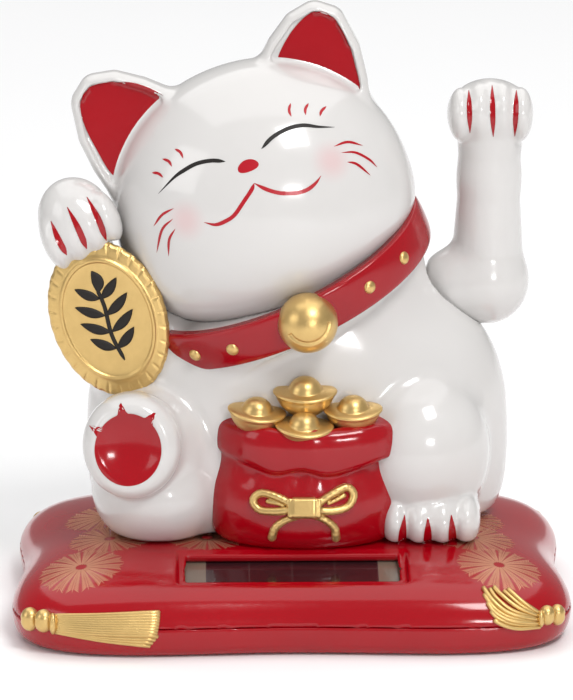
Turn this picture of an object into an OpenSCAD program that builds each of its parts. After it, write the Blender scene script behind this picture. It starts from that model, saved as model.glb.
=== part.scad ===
// Solar waving cat figurine. Millimetres, +Z up, the front faces -Y, origin under the base's middle.

/* [Cushion base] */
// Overall width of the cushion base
base_w = 102; // [100:0.5:104]
// Overall depth of the cushion base with its corner tassels
base_d = 71; // [69:0.5:72]
// Wall thickness of the moulded shells
wall = 1.8; // [1.6:0.1:2.0]
// How far the middle of each side is drawn in, as a share of the size
pinch = 0.053; // [0.045:0.001:0.06]
// Width of the window over the solar cell
window_w = 38; // [36:0.5:39]

/* [Cat] */
// Half width of the body at its widest
body_half_w = 38.8; // [38:0.2:39.4]
// Half width of the head
head_half_w = 27.5; // [27:0.1:28]
// Sideways tilt of the head in degrees
head_roll = 20; // [18:0.5:21]
// Wall thickness of the waving arm
arm_wall = 1.2; // [1.1:0.1:1.4]

/* [Swing mechanism] */
// Radius of the steel axle
axle_r = 1.0; // [0.9:0.05:1.1]
// Radial running clearance of the axle in the bracket
run_gap = 0.05; // [0.03:0.01:0.08]
// Distance from the axle down to the middle of the magnet
swing_len = 30; // [29:0.5:30.5]
// Radius of the magnet
magnet_r = 5; // [4.6:0.1:5]

/* [Hidden] */
half_w = base_w / 2 * 1.019;
half_d = (base_d / 2 - 0.8) * 1.019;
seam_z = 5.6;
top_z = 14.8;
axis_y = 12;
axis_z = 57;
split_y = axis_y;
swing_x = 13;
head_c = [-5, 7, 74.5];
collar_c = [-1, 7, 60.3];
coin_c = [-32.8, -4, 54.9];
base_pts = 56;
white = [0.95, 0.95, 0.94];
red = [0.78, 0.03, 0.07];
gold = [0.78, 0.6, 0.24];
steel = [0.72, 0.73, 0.75];

// ---------- shared shapes ----------

// Point of the cushion outline at an angle, drawn in by an inset
function edge(t, d) =
  let (c = cos(t), s = sin(t))
  let (k = pow(pow(abs(c), 5) + pow(abs(s), 5), -0.2) * (1 - pinch * pow(cos(2 * t), 2)))
  [(half_w - d) * c * k, (half_d - d) * s * k];

// Solid whose level outlines are [height, inset]
module cushion(levels) {
  n = base_pts;
  m = len(levels);
  pts = [for (l = levels) for (i = [0:n - 1]) let (p = edge(i * 360 / n, l[1])) [p[0], p[1], l[0]]];
  sides = [for (j = [0:m - 2]) for (i = [0:n - 1]) for (k = [0:1])
    let (a = j * n + i, b = j * n + (i + 1) % n)
    k == 0 ? [a, a + n, b] : [b, a + n, b + n]];
  bottom = [[for (i = [0:n - 1]) i]];
  top = [[for (i = [0:n - 1]) m * n - 1 - i]];
  polyhedron(points = pts, faces = concat(sides, bottom, top), convexity = 4);
}

outer_low = [[0, 2.6], [0.9, 1.2], [2.6, 0.3], [seam_z, 0]];
outer_high = [[seam_z, 0], [8, 0.8], [10, 2.3], [11.8, 4.8], [13.2, 8.5], [14.2, 13], [top_z, 18]];
inner_low = [[wall, 4.0], [3, 2.5], [seam_z + 0.1, wall + 0.1]];
inner_high = [[seam_z - 0.1, wall + 0.1], [8, wall + 1], [10, wall + 2.8], [11.4, 8], [12.4, 12], [top_z - wall, 17]];

// Rounded lump: centre, three half sizes, turn
module egg(c, r, turn = [0, 0, 0], n = 22)
  translate(c) rotate(turn) hull() scale(r) sphere(r = 1, $fn = n);

// Convex shape over level ellipses [height, x, y, half width, half depth], made smaller by d
module levels_hull(rows, d, n = 36)
  hull() for (r = rows)
    translate([r[1], r[2], r[0]]) scale([r[3] - d, r[4] - d, 1]) cylinder(h = 0.02, r = 1, $fn = n);

module limb(a, ra, b, rb, n = 18)
  hull() {
    translate(a) scale(ra) sphere(r = 1, $fn = n);
    translate(b) scale(rb) sphere(r = 1, $fn = n);
  }

module along_x(x0, x1, r, y = axis_y, z = axis_z, n = 64)
  translate([x0, y, z]) rotate([0, 90, 0]) cylinder(h = x1 - x0, r = r, $fn = n);

module upright_screw(x, y, z0, z1, head_low) {
  translate([x, y, z0]) cylinder(h = z1 - z0, r = 1.2, $fn = 24);
  if (head_low) {
    translate([x, y, z0]) cylinder(h = 1.5, r = 2.5, $fn = 32);
  } else {
    translate([x, y, z1 - 1.5]) cylinder(h = 1.5, r = 2.5, $fn = 32);
  }
}

// A wire through a row of points
module wire(p, r = 0.35) {
  for (i = [0:len(p) - 2]) {
    v = p[i + 1] - p[i];
    a = atan2(v[1], v[0]);
    b = acos(v[2] / norm(v));
    translate(p[i]) rotate([0, b, a]) cylinder(h = norm(v), r = r, $fn = 16);
    if (i > 0) translate(p[i]) sphere(r = r * 1.02, $fn = 16);
  }
}

// ---------- cushion base ----------

module window_frame_place() translate([0, -22.3, 13.05]) rotate([13.7, 0, 0]) children();

module base_upper_shell() color(red) difference() {
  union() {
    difference() {
      cushion(outer_high);
      cushion(inner_high);
    }
    for (x = [-36, 36]) for (y = [-20, 20])
      translate([x, y, 3.6]) cylinder(h = 9.2, r = 3.2, $fn = 40);
    for (x = [0, 26])
      translate([x, axis_y, 7]) cylinder(h = 6.8, r = 3, $fn = 40);
  }
  for (x = [-36, 36]) for (y = [-20, 20])
    translate([x, y, 3.5]) cylinder(h = 7, r = 1.25, $fn = 32);
  for (x = [0, 26])
    translate([x, axis_y, 6]) cylinder(h = 10, r = 1.25, $fn = 32);
  translate([-22, 4, 10]) cylinder(h = 8, r = 1.6, $fn = 32);
  translate([-12, 20, 10]) cylinder(h = 8, r = 1.6, $fn = 32);
  translate([12, 19.8, 10]) cylinder(h = 8, r = 2.2, $fn = 32);
  window_frame_place() {
    translate([-window_w / 2, -4.4, -4]) cube([window_w, 8.8, 8]);
    translate([-21.3, -6.8, -6]) cube([42.6, 13.6, 4.6]);
  }
}

module base_lower_shell() color(red * 0.95) difference() {
  union() {
    difference() {
      cushion(outer_low);
      cushion(inner_low);
    }
    for (x = [-36, 36]) for (y = [-20, 20])
      translate([x, y, 0.4]) cylinder(h = 3.1, r = 4.2, $fn = 40);
    for (x = [-14, 14]) for (y = [-4, 12])
      translate([x, y, 0.4]) cylinder(h = 3.4, r = 2, $fn = 32);
  }
  for (x = [-36, 36]) for (y = [-20, 20]) {
    translate([x, y, -1]) cylinder(h = 2.9, r = 3, $fn = 40);
    translate([x, y, -1]) cylinder(h = 6, r = 1.5, $fn = 32);
  }
}

module base_screws() color(steel)
  for (x = [-36, 36]) for (y = [-20, 20])
    upright_screw(x, y, 0.4, 9.5, true);

module body_screws() color(steel) {
  upright_screw(-22, 4, 10.5, 22, true);
  upright_screw(-12, 20, 10.5, 22, true);
}

module bracket_screws() color(steel)
  for (x = [0, 26])
    upright_screw(x, axis_y, 8.5, 18.1, false);

module solar_cell() color([0.1, 0.08, 0.09])
  window_frame_place() translate([-21, -6.5, -2.6]) cube([42, 13, 1.2]);

module solar_leads() color([0.7, 0.1, 0.1])
  for (s = [-1, 1])
    wire([[s * 17, -21, 9.8], [s * 15, -12, 7.4], [s * 12, -5.5, 5.4]]);

module circuit_board() color([0.1, 0.35, 0.18])
  translate([-18, -8, 3.8]) cube([36, 24, 1.2]);

module capacitor() color([0.15, 0.2, 0.45])
  translate([-13, 2, 8]) rotate([0, 90, 0]) cylinder(h = 10, r = 3, $fn = 40);

module driver_chip() color([0.08, 0.08, 0.09]) {
  translate([4, -2, 5.15]) cube([5, 4, 1.4]);
  for (i = [0:2]) {
    translate([4.3 + 1.8 * i, -3, 5]) cube([0.8, 1, 0.7]);
    translate([4.3 + 1.8 * i, 2, 5]) cube([0.8, 1, 0.7]);
  }
}

// ---------- coil, magnet and hinge ----------

module coil_bobbin() color([0.9, 0.9, 0.85]) translate([swing_x, axis_y, 16.6]) difference() {
  union() {
    cylinder(h = 0.8, r = 5.5, $fn = 48);
    cylinder(h = 5.4, r = 2, $fn = 40);
    translate([0, 0, 4.6]) cylinder(h = 0.8, r = 5.5, $fn = 48);
  }
  translate([0, 0, -1]) cylinder(h = 8, r = 1, $fn = 32);
}

module coil_winding() color([0.72, 0.38, 0.16]) translate([swing_x, axis_y, 17.4]) difference() {
  cylinder(h = 3.8, r = 5, $fn = 48);
  translate([0, 0, -1]) cylinder(h = 6, r = 2, $fn = 40);
}

module coil_leads() color([0.72, 0.38, 0.16])
  for (x = [11, 13])
    wire([[x, 17.9, 19], [x, 19.8, 18.2], [x, 19.8, 8], [x, 14.5, 5.5]], 0.3);

module mechanism_bracket() color([0.85, 0.85, 0.83]) difference() {
  union() {
    translate([-3, 6, top_z]) cube([31.8, 11, 1.8]);
    translate([8, 16, top_z]) cube([8, 6.4, 1.8]);
    for (x = [5, 19]) {
      translate([x, axis_y - 4, top_z + 1]) cube([2, 8, axis_z - top_z - 1]);
      along_x(x, x + 2, 4);
    }
  }
  along_x(4, 8, axle_r + run_gap);
  along_x(18, 22, axle_r + run_gap);
  translate([12, 19.8, 10]) cylinder(h = 8, r = 2, $fn = 32);
  for (x = [0, 26])
    translate([x, axis_y, 10]) cylinder(h = 10, r = 1.5, $fn = 32);
}

module axle_pin() color(steel) along_x(3.5, 33, axle_r);

module rocker() color([0.86, 0.82, 0.7]) difference() {
  union() {
    along_x(8, 18, 3);
    translate([swing_x - 2, axis_y - 1.5, axis_z - swing_len + 4]) cube([4, 3, swing_len - 6]);
    translate([swing_x, axis_y, axis_z - swing_len + 2.5]) cylinder(h = 1.6, r = magnet_r, $fn = 48);
  }
  along_x(7, 19, axle_r);
}

module magnet() color([0.6, 0.6, 0.62])
  translate([swing_x, axis_y, axis_z - swing_len - 2.5]) cylinder(h = 5, r = magnet_r, $fn = 48);

module arm_plug() color([0.86, 0.82, 0.7]) difference() {
  along_x(27.6, 33, 3);
  along_x(27, 34, axle_r);
}

// ---------- waving arm ----------

module arm_mass(d) {
  hull() {
    along_x(26.3 + d, 30, 6.9 - d, axis_y, axis_z, 28);
    translate([36.4, axis_y, 58]) sphere(r = 7 - d, $fn = 20);
  }
  limb([36.4, axis_y, 58.8], [6.8 - d, 6.8 - d, 7 - d], [36.8, axis_y, 78.4], [5.4 - d, 5.6 - d, 5 - d]);
  limb([36.8, axis_y, 78.4], [5.4 - d, 5.6 - d, 5 - d], [36.8, axis_y, 88], [6.6 - d, 5.8 - d, 5.2 - d]);
  egg([36.6, axis_y, 89.2], [7.7 - d, 6.5 - d, 6.2 - d]);
}

module arm_shape() difference() {
  union() {
    difference() {
      union() {
        arm_mass(0);
        for (u = [-5.6, -2.1, 2, 5.5])
          egg([36.6 + u, axis_y - 3.2, 90.4 - 0.03 * u * u], [2.3, 4.2, 4.9], [0, 0, 0], 12);
      }
      arm_mass(arm_wall);
    }
    intersection() {
      arm_mass(0);
      along_x(26.3, 34.4, 4.4, axis_y, axis_z, 32);
    }
  }
  along_x(27.55, 33.05, 3.05, axis_y, axis_z, 48);
  along_x(20, 33.05, 1.3, axis_y, axis_z, 32);
}

module arm_front_half() color(white) difference() {
  arm_shape();
  translate([0, split_y, 0]) cube([200, 200, 400], center = false);
}

module arm_rear_half() color(white) difference() {
  arm_shape();
  translate([0, split_y - 200, 0]) cube([200, 200, 400], center = false);
}

// ---------- head ----------

function head_half(v) =
  let (t = v > -2 ? (v + 2) / 27.5 : (-2 - v) / 18.7)
  let (p = v > -2 ? 2.1 : 2.4)
  pow(max(0, 1 - pow(min(1, t), p)), 1 / p);

head_rows = [for (v = [-20.4, -19, -16, -12, -7, -2, 4, 10, 16, 20.5, 23.5, 25.2])
  [v, 0, 0, max(1.2, head_half_w * head_half(v)), max(1, 22 * head_half(v))]];

module in_head() translate(head_c) rotate([0, -head_roll, 0]) children();

module head_mass(d) in_head() {
  if (d == 0) levels_hull(head_rows, -0.001);
  if (d > 0) levels_hull([for (r = head_rows) if (r[3] > d + 4) r], d);
  if (d < 0) levels_hull(head_rows, d);
}

module ear(s) in_head() translate(s < 0 ? [-1.1, 0, 1.1] : [0, 0, 0]) difference() {
  hull() {
    translate([s * 9.6, 0.5, 20.9]) sphere(r = 2.9, $fn = 18);
    translate([s * 12, 1.5, 13]) sphere(r = 2.9, $fn = 18);
    translate([s * 17.1, 0.5, 27.2]) sphere(r = 2.8, $fn = 18);
    translate([s * 20.4, 0.5, 28]) sphere(r = 2.8, $fn = 18);
    translate([s * 22.6, 0.5, 25.6]) sphere(r = 2.8, $fn = 18);
    translate([s * 22.6, 0.5, 12]) sphere(r = 3, $fn = 18);
  }
  hull() {
    translate([s * 11.5, -3.6, 20.6]) sphere(r = 2, $fn = 14);
    translate([s * 19.4, -3.6, 27]) sphere(r = 2, $fn = 14);
    translate([s * 22.4, -3.6, 24.4]) sphere(r = 2, $fn = 14);
    translate([s * 21, -3.6, 12]) sphere(r = 2, $fn = 14);
  }
}

module in_collar() translate(collar_c) rotate([13, -24, 0]) children();

module head_cut() in_collar() translate([-100, -100, -196.15]) cube([200, 200, 200]);

module neck_cut() in_collar() {
  translate([-100, -100, 3.7]) cube([200, 200, 200]);
  difference() {
    translate([-60, -60, -3.8]) cube([120, 120, 8]);
    scale([25, 19.1, 1]) cylinder(h = 12, r = 1, center = true, $fn = 48);
  }
}

module head_shape(ears) difference() {
  union() {
    head_mass(0);
    if (ears) ear(-1);
    if (ears) ear(1);
  }
  head_mass(wall);
  head_cut();
}

module head_front_shell() color(white) difference() {
  head_shape(true);
  translate([-100, split_y, 0]) cube([200, 100, 200]);
}

module head_rear_shell() color(white) difference() {
  head_shape(false);
  translate([-100, split_y - 100, 0]) cube([200, 100, 200]);
}

// ---------- body ----------

body_rows = [
  [top_z, 1.5, 9, 34.5, 17.5], [16.6, 1.5, 9, 36.8, 18.7], [21.5, 1.5, 9, 38.4, 19.8],
  [30, 1.5, 9, body_half_w, 20.2], [40, 1.5, 9, 38, 19.8], [49, 1.5, 9, 34.5, 18.6],
  [57, 1.5, 9, 27, 16.8], [60, 1.5, 9, 24, 15.9], [66, 2, 8.5, 20.5, 14], [71, 3, 8, 15, 11]
];

module body_cavity() levels_hull(concat([[top_z - 1, 1.5, 9, 34.5, 17.5]], body_rows), wall, 36);

module legs_mass() {
  // raised hind leg with its round sole
  hull() {
    translate([-25, -4, 31]) sphere(r = 10.4, $fn = 20);
    translate([-29, -15.6, 34.5]) rotate([84, 0, -6]) cylinder(h = 1.6, r = 8.4, $fn = 32, center = true);
    translate([-29, -13.5, 34.5]) rotate([84, 0, -6]) cylinder(h = 1.2, r = 9.3, $fn = 32, center = true);
  }
  egg([-24, -3, 22.5], [12.2, 13.2, 10.6]);
  egg([-23.6, -1, 28], [12.4, 12.6, 14]);
  // standing hind leg and flat foot
  egg([23.6, -3, 29], [12.6, 12.2, 14.1]);
  limb([25.3, -8.5, 19.4], [9, 7.4, 4.7], [25, 0, 21], [10, 9, 6.2]);
}

module held_arm() {
  limb([-25, 4, 39], [8.6, 8.4, 8.2], [-35, 5, 52], [7, 6.4, 6.8]);
  limb([-24, 3.5, 49], [8.2, 8, 8.2], [-35.5, 6, 55], [6, 5.8, 6]);
  limb([-35.5, 6, 55], [6, 5.8, 6], [-37.4, 4.4, 66], [5.4, 5.4, 5.4]);
  egg([-38.6, 0.5, 72.2], [6.8, 6.8, 7.7], [0, -20, 0]);
  for (q = [[5.6, 0.4], [2.7, -1.5], [-0.6, -3.2], [-3.7, -4.8]])
    egg([-38.5 + q[0], -2.7, 73 + q[1]], [2.2, 3.7, 4.7], [0, -24, 0], 12);
}

module coin_blank(d, h) translate(coin_c) rotate([0, -18, -8]) rotate([90, 0, 0])
  linear_extrude(height = h, center = true)
    polygon([for (i = [0:47]) [(10.5 + d) * cos(i * 7.5), (14.5 + d) * sin(i * 7.5)]]);

module body_boss(x, y, wy) {
  translate([x, y, top_z]) cylinder(h = 9.5, r = 3.2, $fn = 28);
  translate([x - 0.9, min(y, wy), top_z]) cube([1.8, abs(wy - y), 9.5]);
}

module body_shape() difference() {
  union() {
    difference() {
      union() {
        difference() {
          levels_hull(body_rows, 0);
          neck_cut();
        }
        legs_mass();
        difference() {
          held_arm();
          in_collar() scale([28.6, 22.6, 1]) cylinder(h = 7.8, r = 1, center = true, $fn = 48);
        }
      }
      body_cavity();
    }
    intersection() {
      levels_hull(body_rows, 0.5);
      union() {
        body_boss(-22, 4, -12);
        body_boss(-12, 20, 32);
        along_x(24, 26, 9.2, axis_y, axis_z, 36);
      }
    }
  }
  translate([-22, 4, 10]) cylinder(h = 13, r = 1.3, $fn = 28);
  translate([-12, 20, 10]) cylinder(h = 13, r = 1.3, $fn = 28);
  along_x(25.9, 60, 7.5, axis_y, axis_z, 40);
  along_x(20, 30, 1.7, axis_y, axis_z, 28);
  translate([-100, -100, -100]) cube([200, 200, 100 + top_z]);
  head_mass(-0.06);
}

module body_front_shell() color(white) difference() {
  body_shape();
  translate([-100, split_y, 0]) cube([200, 100, 200]);
}

module body_rear_shell() color(white) difference() {
  body_shape();
  translate([-100, split_y - 100, 0]) cube([200, 100, 200]);
}

// ---------- collar, bell and coin ----------

// Closed band: section points [out, up] carried round an ellipse
module band(ax, ay, section, n) {
  m = len(section);
  pts = [for (i = [0:n - 1]) for (q = section)
    [(ax + q[0]) * cos(i * 360 / n), (ay + q[0]) * sin(i * 360 / n), q[1]]];
  faces = [for (i = [0:n - 1]) for (j = [0:m - 1]) for (k = [0:1])
    let (a = i * m + j, b = i * m + (j + 1) % m)
    let (c = ((i + 1) % n) * m + j, e = ((i + 1) % n) * m + (j + 1) % m)
    k == 0 ? [a, b, c] : [b, e, c]];
  polyhedron(points = pts, faces = faces, convexity = 6);
}

collar_rx = 28.3;
collar_ry = 22.3;
collar_section = [[-3, -3.5], [-3, 3.5], [-1, 3.7], [-0.2, 2.6], [0, 0], [-0.2, -2.6], [-1, -3.7]];

module collar_ring() in_collar() band(collar_rx, collar_ry, collar_section, 56);

module collar() color(red) collar_ring();

module collar_studs() color(gold)
  in_collar() for (t = [226, 243.5, 301.5, 322])
    translate([collar_rx * cos(t), collar_ry * sin(t), 0])
      rotate([0, 90, atan2(sin(t) / collar_ry, cos(t) / collar_rx)])
      cylinder(h = 0.6, r = 1.2, $fn = 24);

module bell() color(gold) difference() {
  translate([2.9, -14.2, 56.5]) sphere(r = 5.4, $fn = 40);
  in_collar() translate([-50, -collar_ry, -50]) cube([100, 100, 100]);
  translate([3.6, -21, 54.2]) rotate([0, -14, 0]) cube([7, 6, 0.7], center = true);
}

module coin() color(gold) difference() {
  union() {
    coin_blank(0, 2.2);
    coin_blank(-2.6, 3);
  }
  translate(coin_c) rotate([0, -18, -8]) rotate([90, 0, 0]) translate([0, 0, 1.1])
    linear_extrude(height = 2)
      polygon([for (i = [0:47]) [7.3 * cos(i * 7.5), 11.3 * sin(i * 7.5)]]);
  head_mass(-0.1);
  held_arm();
  legs_mass();
  levels_hull(body_rows, -0.05);
  in_collar() scale([collar_rx + 0.1, collar_ry + 0.1, 1]) cylinder(h = 7.6, r = 1, center = true, $fn = 48);
}

// ---------- money bag ----------

bag_rows = [
  [top_z, 2.5, -8, 14.2, 7.8], [16.4, 2.5, -8, 16.2, 9.2], [21, 2.5, -8, 17.3, 10],
  [26, 2.5, -8, 16.8, 9.6], [30, 2.5, -8, 15.6, 8.9]
];
mouth_rows = [[29, 3.3, -8, 15.8, 9.4], [31.5, 3.4, -8, 16.7, 10.2], [34.4, 3.5, -8, 16.8, 10.2],
  [36.8, 3.5, -8, 16, 9.4], [38, 3.4, -8, 14, 7.2]];

module bag_mass() {
  levels_hull(bag_rows, 0, 36);
  levels_hull(mouth_rows, 0, 36);
}

module money_bag() color(red) difference() {
  bag_mass();
  levels_hull(body_rows, -0.05);
  legs_mass();
  hull() egg([2.2, -8, 39], [11.5, 6.5, 4.4], [0, 0, 0], 18);
}

module ingot_shape(c, s) {
  hull() {
    egg(c + [0, 0, -0.4], [5.2 * s, 3 * s, 2.1 * s], [0, 0, 0], 14);
    egg(c + [-4.4 * s, 0, 0.6 * s], [1.5 * s, 2 * s, 1.6 * s], [0, 0, 0], 10);
    egg(c + [4.4 * s, 0, 0.6 * s], [1.5 * s, 2 * s, 1.6 * s], [0, 0, 0], 10);
  }
  egg(c + [0, -0.2, 1.6 * s], [2.7 * s, 2.5 * s, 2.3 * s], [0, 0, 0], 16);
}

module ingot_room() {
  levels_hull(body_rows, -0.05);
  bag_mass();
}

module ingot_front() color(gold) difference() {
  ingot_shape([2.6, -15.6, 38.6], 1);
  difference() {
    ingot_room();
    hull() egg([2.2, -8, 39], [11.5, 6.5, 4.4], [0, 0, 0], 18);
  }
}

module ingot_left() color(gold) difference() {
  ingot_shape([-5.4, -13.2, 41], 1);
  ingot_room();
  ingot_shape([2.6, -15.6, 38.6], 1.02);
}

module ingot_right() color(gold) difference() {
  ingot_shape([10.8, -13.2, 41], 1);
  ingot_room();
  ingot_shape([2.6, -15.6, 38.6], 1.02);
}

module ingot_back() color(gold) difference() {
  ingot_shape([2.6, -12.4, 45.2], 1.1);
  ingot_room();
  ingot_shape([-5.4, -13.2, 41], 1.02);
  ingot_shape([10.8, -13.2, 41], 1.02);
  ingot_shape([2.6, -15.6, 38.6], 1.02);
}

module bag_bow() color(gold) difference() {
  union() {
    egg([3, -17.4, 25.2], [2.1, 1.5, 1.7], [0, 0, 0], 14);
    for (s = [-1, 1]) {
      limb([3 + s * 2, -17, 25.4], [0.9, 0.9, 1.1], [3 + s * 7.4, -16.3, 26.4], [1.6, 1.1, 1.5], 12);
      limb([3 + s * 7.4, -16.3, 26.4], [1.6, 1.1, 1.5], [3 + s * 6.4, -16.4, 24.2], [1.4, 1, 1], 12);
      limb([3 + s * 1.2, -17, 24.6], [0.9, 0.8, 0.9], [3 + s * 3.4, -17.2, 21.4], [0.9, 0.8, 0.8], 12);
      limb([3 + s * 3.4, -17.2, 21.4], [0.9, 0.8, 0.8], [3 + s * 6, -16.9, 19.4], [1.2, 0.8, 0.7], 12);
    }
  }
  bag_mass();
}

// ---------- corner tassels ----------

// Place on the cushion's side: angle round the outline, distance in, height
function on_side(t, d, z) = let (p = edge(t, d)) [p[0], p[1], z];

module tassel_mass() {
  egg(on_side(220, 0.9, 7), [1.7, 1.7, 1.7], [0, 0, 0], 10);
  egg(on_side(225, 0.9, 6.9), [1.6, 1.6, 1.6], [0, 0, 0], 10);
  limb(on_side(228, 0.6, 6.8), [1.4, 1.3, 1.4], on_side(235, 0.5, 6.2), [1.4, 1.3, 2.2], 8);
  limb(on_side(235, 0.5, 6.2), [1.4, 1.3, 2.2], on_side(245, 0.4, 7), [1.2, 1.2, 1], 8);
  limb(on_side(235, 0.5, 5.8), [1.4, 1.3, 2.2], on_side(244.5, 0.4, 3.4), [1.2, 1.2, 1.2], 8);
  limb(on_side(235, 0.5, 6), [1.4, 1.3, 2], on_side(245, 0.4, 5.3), [1.2, 1.2, 1], 8);
  egg(on_side(231.5, 0.6, 6.5), [1.8, 1.4, 1.9], [0, 0, 0], 8);
  egg(on_side(228.5, 0.6, 6.8), [0.9, 1.4, 1.8], [0, 0, 0], 8);
}

module tassel_shape() difference() {
  tassel_mass();
  cushion(concat(outer_low, [for (i = [1:len(outer_high) - 1]) outer_high[i]]));
}

module tassel_front_left() color(gold) tassel_shape();
module tassel_front_right() color(gold) mirror([1, 0, 0]) tassel_shape();
module tassel_rear_left() color(gold) mirror([0, 1, 0]) tassel_shape();
module tassel_rear_right() color(gold) mirror([1, 0, 0]) mirror([0, 1, 0]) tassel_shape();

// ---------- drawing ----------

base_lower_shell();
base_upper_shell();
base_screws();
body_screws();
bracket_screws();
solar_cell();
solar_leads();
circuit_board();
capacitor();
driver_chip();
coil_bobbin();
coil_winding();
coil_leads();
mechanism_bracket();
body_front_shell();
body_rear_shell();
head_front_shell();
head_rear_shell();
collar();
collar_studs();
bell();
coin();
money_bag();
bag_bow();
ingot_back();
ingot_left();
ingot_right();
ingot_front();
tassel_front_left();
tassel_front_right();
tassel_rear_left();
tassel_rear_right();
arm_front_half();
arm_rear_half();
arm_plug();
axle_pin();
rocker();
magnet();
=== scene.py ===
"""Looks for the solar waving cat: glossy shells, painted face, gold trim and the cushion base.

Shapes are signed fields in millimetres, turned into quad meshes and set on the CAD frame.
The cat faces -Y, +X is its waving arm's side, and +Z is up.
"""

import math

import bmesh
import bpy
import numpy as np
import openvdb
from mathutils import Matrix, Vector


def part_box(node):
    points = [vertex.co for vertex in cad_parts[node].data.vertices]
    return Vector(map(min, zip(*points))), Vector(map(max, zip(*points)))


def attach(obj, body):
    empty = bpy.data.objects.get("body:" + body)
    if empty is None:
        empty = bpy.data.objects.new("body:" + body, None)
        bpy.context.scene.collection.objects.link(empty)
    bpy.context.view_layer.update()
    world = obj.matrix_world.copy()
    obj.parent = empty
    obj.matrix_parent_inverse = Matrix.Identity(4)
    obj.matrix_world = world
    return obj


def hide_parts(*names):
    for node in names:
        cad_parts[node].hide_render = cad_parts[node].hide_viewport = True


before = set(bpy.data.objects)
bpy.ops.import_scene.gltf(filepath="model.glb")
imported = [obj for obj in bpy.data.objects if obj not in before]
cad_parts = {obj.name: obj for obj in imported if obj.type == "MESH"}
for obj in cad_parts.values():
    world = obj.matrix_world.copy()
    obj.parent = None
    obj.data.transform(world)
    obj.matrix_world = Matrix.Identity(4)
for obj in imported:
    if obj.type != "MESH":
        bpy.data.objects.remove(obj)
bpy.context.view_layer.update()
MM = 0.001

# ---------------------------------------------------------------- places taken from the frame


def corner_mm(node):
    """Lowest and highest corner of a CAD node, in millimetres."""
    low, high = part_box(node)
    return np.array(low) / MM, np.array(high) / MM


def middle_mm(node):
    low, high = corner_mm(node)
    return (low + high) / 2


SHELL_LOW, SHELL_HIGH = corner_mm("base_upper_shell")
SEAM_Z = SHELL_LOW[2] if SHELL_LOW[2] > 5 else 5.6
TOP_Z = SHELL_HIGH[2]
AXLE = middle_mm("axle_pin")
HALF_W = SHELL_HIGH[0] * 1.019
HALF_D = SHELL_HIGH[1] * 1.019
WALL = 1.8
HEAD = np.array([-5.0, 7.0, 74.5])
HEAD_ROLL = math.radians(20)
COLLAR = np.array([-1.0, 7.0, 60.3])
BELL = np.array([2.9, -14.2, 56.5])
COIN = np.array([-32.8, -4.0, 54.9])

# ---------------------------------------------------------------- fields


def points(*p):
    return np.array(p, float)


def smooth_min(a, b, k):
    h = np.clip(0.5 + 0.5 * (b - a) / k, 0, 1)
    return b * (1 - h) + a * h - k * h * (1 - h)


def smooth_max(a, b, k):
    return -smooth_min(-a, -b, k)


def turned(p, centre, rotation=None):
    """p seen from a frame at centre whose axes are rotation's columns."""
    q = [p[i] - centre[i] for i in range(3)]
    if rotation is None:
        return q
    r = np.array(rotation)
    return [q[0] * r[0, i] + q[1] * r[1, i] + q[2] * r[2, i] for i in range(3)]


def turn(x=0, y=0, z=0):
    """Rotation by degrees about X, then Y, then Z."""
    m = Matrix.Rotation(math.radians(z), 3, "Z") @ Matrix.Rotation(math.radians(y), 3, "Y")
    return np.array(m @ Matrix.Rotation(math.radians(x), 3, "X"))


def egg(p, centre, radii, rotation=None):
    """Signed distance, close to the surface, to an ellipsoid."""
    q = turned(p, centre, rotation)
    k0 = np.sqrt(sum((q[i] / radii[i]) ** 2 for i in range(3))) + 1e-9
    k1 = np.sqrt(sum((q[i] / radii[i] ** 2) ** 2 for i in range(3))) + 1e-9
    return k0 * (k0 - 1) / k1


def limb(p, a, b, ra, rb, flat=(1, 1, 1)):
    """Round cone from a to b. flat squeezes it along X, Y or Z."""
    q = [(p[i] - a[i]) / flat[i] for i in range(3)]
    d = [(b[i] - a[i]) / flat[i] for i in range(3)]
    length2 = sum(v * v for v in d)
    t = np.clip(sum(q[i] * d[i] for i in range(3)) / length2, 0, 1)
    gap = np.sqrt(sum((q[i] - t * d[i]) ** 2 for i in range(3)))
    return (gap - (ra + (rb - ra) * t)) * min(flat)


def block(p, centre, half, rounding, rotation=None):
    q = turned(p, centre, rotation)
    e = [np.abs(q[i]) - (half[i] - rounding) for i in range(3)]
    outside = np.sqrt(sum(np.maximum(v, 0) ** 2 for v in e))
    return outside + np.minimum(np.maximum(e[0], np.maximum(e[1], e[2])), 0) - rounding


def disc(p, centre, radius, half_height, rounding, rotation=None):
    """Round-edged disc whose axis is its own Z."""
    q = turned(p, centre, rotation)
    r = np.sqrt(q[0] ** 2 + q[1] ** 2) - (radius - rounding)
    h = np.abs(q[2]) - (half_height - rounding)
    return np.sqrt(np.maximum(r, 0) ** 2 + np.maximum(h, 0) ** 2) + np.minimum(np.maximum(r, h), 0) - rounding


def spline(knots, count):
    """Smooth curve through knots, as count points."""
    k = np.array(knots, float)
    ends = np.vstack([2 * k[0] - k[1], k, 2 * k[-1] - k[-2]])
    t = np.linspace(0, len(k) - 1, count)
    i = np.minimum(t.astype(int), len(k) - 2)
    f = (t - i)[:, None]
    a, b, c, d = ends[i], ends[i + 1], ends[i + 2], ends[i + 3]
    return 0.5 * (2 * b + (c - a) * f + (2 * a - 5 * b + 4 * c - d) * f**2 + (3 * b - a - 3 * c + d) * f**3)


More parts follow.
